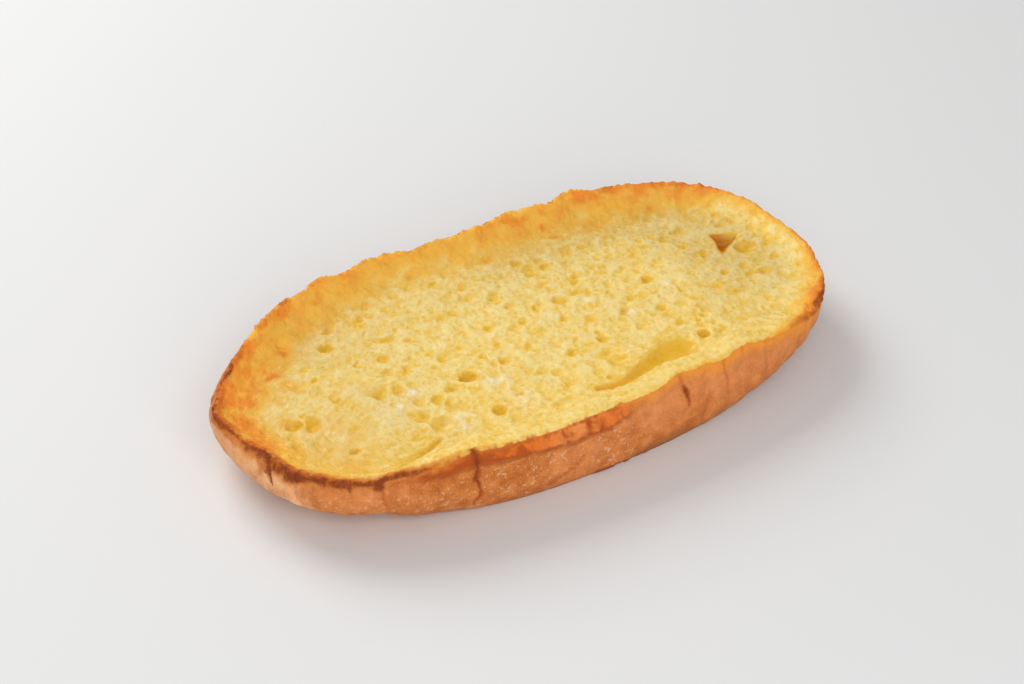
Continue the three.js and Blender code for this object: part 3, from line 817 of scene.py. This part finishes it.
bread = {
    # The ridge colour is partly painted light and the hollow colour partly painted shade, over the crumb's
    # own yellow.
    "ridge": (0.95, 0.745, 0.285), "crumb": (0.91, 0.605, 0.12), "hollow": (0.77, 0.435, 0.010),
    # The deep colour is painted shade in the torn hole; the pale cream after it is a painted glint of wet
    # egg.
    "deep": (0.66, 0.225, 0.003), "egg": (0.95, 0.87, 0.60), "film": (0.94, 0.54, 0.05),
    # The first colour on the next line is multiplied over the crumb as painted shade.
    "paintedShade": (0.80, 0.79, 0.84), "golden": (0.92, 0.50, 0.070), "toasted": (0.88, 0.292, 0.034),
    "singed": (0.57, 0.12, 0.014), "scorched": (0.51, 0.14, 0.028), "burnt": (0.26, 0.049, 0.009),
    "tan": (0.75, 0.27, 0.068), "brownCrust": (0.60, 0.175, 0.032), "paleCrust": (0.99, 0.515, 0.25),
    "mottle": (0.8, 0.68, 0.58), "rosyCrust": (0.84, 0.305, 0.095), "edge": (0.93, 0.33, 0.03),
    "soaked": (0.80, 0.165, 0.010), "soakedPink": (0.90, 0.32, 0.08), "soakedRed": (0.46, 0.08, 0.008),
    # The crack colour also paints shade in the folds; the under colour is the darker bottom crust and
    # painted shade at the wall's foot.
    "crackAndFoldShade": (0.27, 0.045, 0.005), "speck": (0.88, 0.58, 0.37), "under": (0.44, 0.16, 0.045),
    "roughness": 0.6, "wetRoughness": 0.25, "glazeRoughness": 0.3, "specular": 0.16,
    "glow": 0.7, "glowColour": (1.0, 0.7, 0.25), "glowReach": 2, "bump": 0.8, "bumpDepth": 0.4,
    "cellSize": 1.8, "cellBend": 0.9, "cellBendSize": 1.8, "speckShare": 0.45, "edgeShare": 0.8,
    "singedShare": 0.8, "evenShare": 0.85,
}
noiseNodes = {  # size in millimetres, detail, and roughness where it isn't 0.5
    "grain": (1.1, 3), "patches": (4.5, 4, 0.6), "broad": (18, 2), "wetAndGlintSpots": (2.2, 3),
    "sand": (0.6, 2), "cloudy": (6.5, 2, 0.4), "flour": (1.15, 0.8),
}
steps = {  # where each thing starts to show, and where it is full
    "openCell": (0.7, 0.12), "sheen": (0.3, 0.65), "golden": (0.04, 0.62), "toasted": (0.55, 1.15),
    "pale": (0.6, 1.2), "mottle": (0.75, 0.2), "specks": (0.755, 0.86), "soakedRed": (0.0, 0.85),
    "crust": (0.3, 0.7), "singed": (0.2, 0.9), "scorched": (0.5, 1.0), "burnt": (0.22, 0.92),
    "wet": (0.47, 0.62), "dryCrust": (0.5, 0),
}


def addNoises():  # what the colours, the gloss and the bump share
    space = addNode("ShaderNodeTexCoord").outputs["Object"]

    def addNoise(size, detail, roughness=0.5, output="Fac"):
        node = addNode("ShaderNodeTexNoise", Scale=1 / (size * mm), Detail=detail, Roughness=roughness)
        tree.links.new(space, node.inputs["Vector"])
        return node.outputs[output]

    noises = {name: addNoise(*values) for name, values in noiseNodes.items()}
    bent = addNode("ShaderNodeVectorMath", operation="MULTIPLY_ADD")
    tree.links.new(addNoise(bread["cellBendSize"], 2, output="Color"), bent.inputs[0])
    bent.inputs[1].default_value = (bread["cellBend"] * mm,) * 3
    tree.links.new(space, bent.inputs[2])
    sponge = addNode("ShaderNodeTexVoronoi", Scale=1 / (bread["cellSize"] * mm), Randomness=1.0)
    tree.links.new(bent.outputs[0], sponge.inputs["Vector"])
    noises["openCell"] = addStep(sponge.outputs["Distance"], "openCell")
    spotty = weigh(noises["patches"], 0.45, -0.22)
    noises["spotty"] = weigh(noises["grain"], 0.05, spotty)
    return noises


def addCrumb(noises):  # pale ridges partly painted light, yellow cells, golden hollows partly painted shade, the film of egg, and painted glints
    tone = weigh(noises["grain"], 0.34, -0.58)
    tone = weigh(noises["openCell"], 0.23, tone)
    tone = weigh(noises["patches"], 0.5, tone)
    tone = addMath("ADD", tone, mask("hollow"), clamp=True)
    colour = addRamp(tone, [(0, bread["ridge"]), (0.4, bread["crumb"]), (1, bread["hollow"])])
    # painted shade inside the torn hole
    colour = addMix(mask("deepHoleShade"), colour, bread["deep"])
    colour = addMix(mask("film"), colour, bread["film"])
    # painted glint: pale cream mixed in where the egg is wet
    sheen = addStep(noises["wetAndGlintSpots"], "sheen")
    return addMix(times(mask("wetAndPaintedGlint"), sheen), colour, bread["egg"])


def addToasting(noises, colour):  # golden, then brown towards the rim, then the painted shade multiplied over it
    brown = times(mask("brown"), weigh(noises["cloudy"], 1.9, 0.05))
    brown = weigh(noises["spotty"], 0.6, brown)
    golden = addStep(brown, "golden")
    colour = addMix(times(golden, bread["evenShare"]), colour, bread["crumb"])
    colour = addMix(golden, colour, bread["golden"])
    colour = addMix(addStep(brown, "toasted"), colour, bread["toasted"])
    # painted shade multiplied over the crumb
    return addMix(mask("paintedShade"), colour, bread["paintedShade"], "MULTIPLY")


def addSpecks(noises):  # flour left on the crust
    dust = weigh(noises["patches"], 0.3, noises["flour"])
    return times(addStep(dust, "specks"), mask("floured"))


def addCrust(noises, specks):  # brown to tan, rosy and pale zones, flour, the soaked band
    patches, sand, broad = noises["patches"], noises["sand"], noises["broad"]
    tone = weigh(sand, 0.65, -0.32)
    tone = weigh(patches, 0.8, tone)
    colour = addRamp(tone, [(0.2, bread["brownCrust"]), (0.6, bread["tan"])])
    rosy = weigh(broad, 0.6, -0.3)
    rosy = addMath("ADD", mask("rosy"), rosy, clamp=True)
    colour = addMix(rosy, colour, bread["rosyCrust"])
    pale = weigh(patches, 0.7, mask("pale"))
    colour = addMix(addStep(pale, "pale"), colour, bread["paleCrust"])
    # the darker bottom crust, with painted shade at the foot of the wall's right half
    under = weigh(broad, 1.4, -0.5)
    under = weigh(patches, 1.3, under, clamp=True)
    under = times(mask("under"), under)
    colour = addMix(under, colour, bread["under"])
    mottle = weigh(sand, 0.4, -0.25)
    mottle = weigh(patches, 1.1, mottle)
    colour = addMix(addStep(mottle, "mottle"), colour, bread["mottle"], "MULTIPLY")
    colour = addMix(times(specks, bread["speckShare"]), colour, bread["speck"])
    red = weigh(noises["spotty"], 0.6, mask("red"))
    soaked = addMix(mask("rosy"), bread["soaked"], bread["soakedPink"])
    soaked = addMix(addStep(red, "soakedRed"), soaked, bread["soakedRed"])
    colour = addMix(mask("soaked"), colour, soaked)
    edge = times(mask("edge"), bread["edgeShare"])
    return addMix(edge, colour, bread["edge"])


def addBurns(noises, crumbColour, crustColour):  # crumb to crust, then what burnt, then the cracks' own dark and the painted shade in folds
    spotty = noises["spotty"]
    crust = weigh(spotty, 0.8, mask("crust"))
    colour = addMix(addStep(crust, "crust"), crumbColour, crustColour)
    singed = addStep(addMath("ADD", mask("singed"), times(spotty, 1.2)), "singed")
    singedColour = addMix(addStep(crust, "scorched"), bread["singed"], bread["scorched"])
    colour = addMix(times(singed, bread["singedShare"]), colour, singedColour)
    charred = weigh(noises["sand"], 0.7, -0.35)
    charred = weigh(spotty, 0.4, charred)
    burnt = addMath("ADD", charred, mask("burn"))
    colour = addMix(addStep(burnt, "burnt"), colour, bread["burnt"])
    return addMix(mask("crackAndFoldShade"), colour, bread["crackAndFoldShade"])


def addGloss(noises):  # roughness: low where egg glistens, and on the soaked band
    wet = addMath("MAXIMUM", mask("wetAndPaintedGlint"), mask("calm"))
    wet = addMath("MAXIMUM", addStep(noises["wetAndGlintSpots"], "wet"), wet)
    wet = times(wet, addStep(mask("crust"), "dryCrust"))
    rough = addMix(wet, (bread["roughness"],) * 3, (bread["wetRoughness"],) * 3)
    return addMix(mask("soaked"), rough, (bread["glazeRoughness"],) * 3)


def addBump(noises, specks):  # fine cells in the crumb, sand and flour on the crust
    height = times(noises["sand"], 0.62)
    height = weigh(noises["openCell"], -0.55, height)
    height = weigh(noises["grain"], 0.5, height)
    height = addMix(mask("calm"), height, (0.3, 0.3, 0.3))
    crustHeight = weigh(specks, 0.4, noises["sand"])
    height = addMix(mask("crust"), height, crustHeight)
    bump = addNode("ShaderNodeBump", Strength=bread["bump"], Distance=bread["bumpDepth"] * mm)
    tree.links.new(height, bump.inputs["Height"])
    return bump.outputs["Normal"]


def makeBreadLooks():
    noises = addNoises()
    specks = addSpecks(noises)
    crumbColour = addToasting(noises, addCrumb(noises))
    colour = addBurns(noises, crumbColour, addCrust(noises, specks))
    shader = tree.nodes["Principled BSDF"]
    tree.links.new(colour, shader.inputs["Base Color"])
    tree.links.new(addGloss(noises), shader.inputs["Roughness"])
    tree.links.new(addBump(noises, specks), shader.inputs["Normal"])
    shader.subsurface_method = "BURLEY"
    shader.inputs["Subsurface Weight"].default_value = bread["glow"]
    shader.inputs["Subsurface Radius"].default_value = bread["glowColour"]
    shader.inputs["Subsurface Scale"].default_value = bread["glowReach"] * mm
    shader.inputs["Specular IOR Level"].default_value = bread["specular"]
    layOut()


print("materials")
makeBreadLooks()
looks = bpy.data.objects.new("bread_slab_looks", slabMesh)
bpy.context.scene.collection.objects.link(looks)
slabMesh.materials.append(breadMaterial)
slabMesh.polygons.foreach_set("use_smooth", np.ones(len(slabMesh.polygons), dtype=bool))
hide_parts("bread_slab")
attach(looks, "root")

# Camera, light and floor. The view's own axes are right, away and up; the slab lies turned in them.
view = {
    "slabTurn": 30.1, "aim": (5.5, 17.4, 0.0), "distance": 707.6, "elevation": 38.95,
    "lens": 75.94, "sensor": 36,
    "key": {"at": (-600, 700, 760), "size": 700, "power": 9.0, "colour": (1.0, 0.985, 0.96)},
    "fill": {"at": (250, -860, 600), "size": 900, "power": 6.2, "colour": (1.0, 0.995, 0.99)},
    "world": 0.38, "floor": (0.78, 0.785, 0.79), "floorRoughness": 0.6, "floorReach": 6.0,  # in metres
}


def fromView(right, away, up):  # a place in the view's axes, in millimetres, to the slab's in metres
    t = math.radians(view["slabTurn"])
    c, s = math.cos(t), math.sin(t)
    aimX, aimY, aimZ = view["aim"]
    return Vector((aimX + right * c + away * s, aimY - right * s + away * c, aimZ + up)) * mm


def addLight(name, facts):
    data = bpy.data.lights.new(name, "AREA")
    data.shape = "SQUARE"
    data.size = facts["size"] * mm
    data.energy = facts["power"]
    data.color = facts["colour"]
    light = bpy.data.objects.new(name, data)
    light.location = fromView(*facts["at"])
    light.rotation_euler = (-light.location).to_track_quat("-Z", "Y").to_euler()
    bpy.context.scene.collection.objects.link(light)


def makeStage():
    mesh = bpy.data.meshes.new("floor")
    side = view["floorReach"]
    corners = [(-side, -side, 0), (side, -side, 0), (side, side, 0), (-side, side, 0)]
    mesh.from_pydata(corners, [], [(0, 1, 2, 3)])
    floorPlane = bpy.data.objects.new("floor", mesh)
    bpy.context.scene.collection.objects.link(floorPlane)
    material = bpy.data.materials.new("paleFloor")
    material.use_nodes = True
    shader = material.node_tree.nodes["Principled BSDF"]
    shader.inputs["Base Color"].default_value = (*view["floor"], 1)
    shader.inputs["Roughness"].default_value = view["floorRoughness"]
    mesh.materials.append(material)
    addLight("windowLight", view["key"])
    addLight("roomFill", view["fill"])
    world = bpy.data.worlds.new("room")
    world.use_nodes = True
    background = world.node_tree.nodes["Background"]
    background.inputs["Color"].default_value = (1, 1, 1, 1)
    background.inputs["Strength"].default_value = view["world"]
    bpy.context.scene.world = world


def makeCamera():
    e = math.radians(view["elevation"])
    aim = fromView(0, 0, 0)
    data = bpy.data.cameras.new("camera")
    data.lens = view["lens"]
    data.sensor_width = view["sensor"]
    camera = bpy.data.objects.new("camera", data)
    camera.location = fromView(0, -view["distance"] * math.cos(e), view["distance"] * math.sin(e))
    camera.rotation_euler = (aim - camera.location).to_track_quat("-Z", "Y").to_euler()
    bpy.context.scene.collection.objects.link(camera)
    bpy.context.scene.camera = camera


print("stage and camera")
makeStage()
makeCamera()
bpy.context.scene.view_settings.view_transform = "Standard"
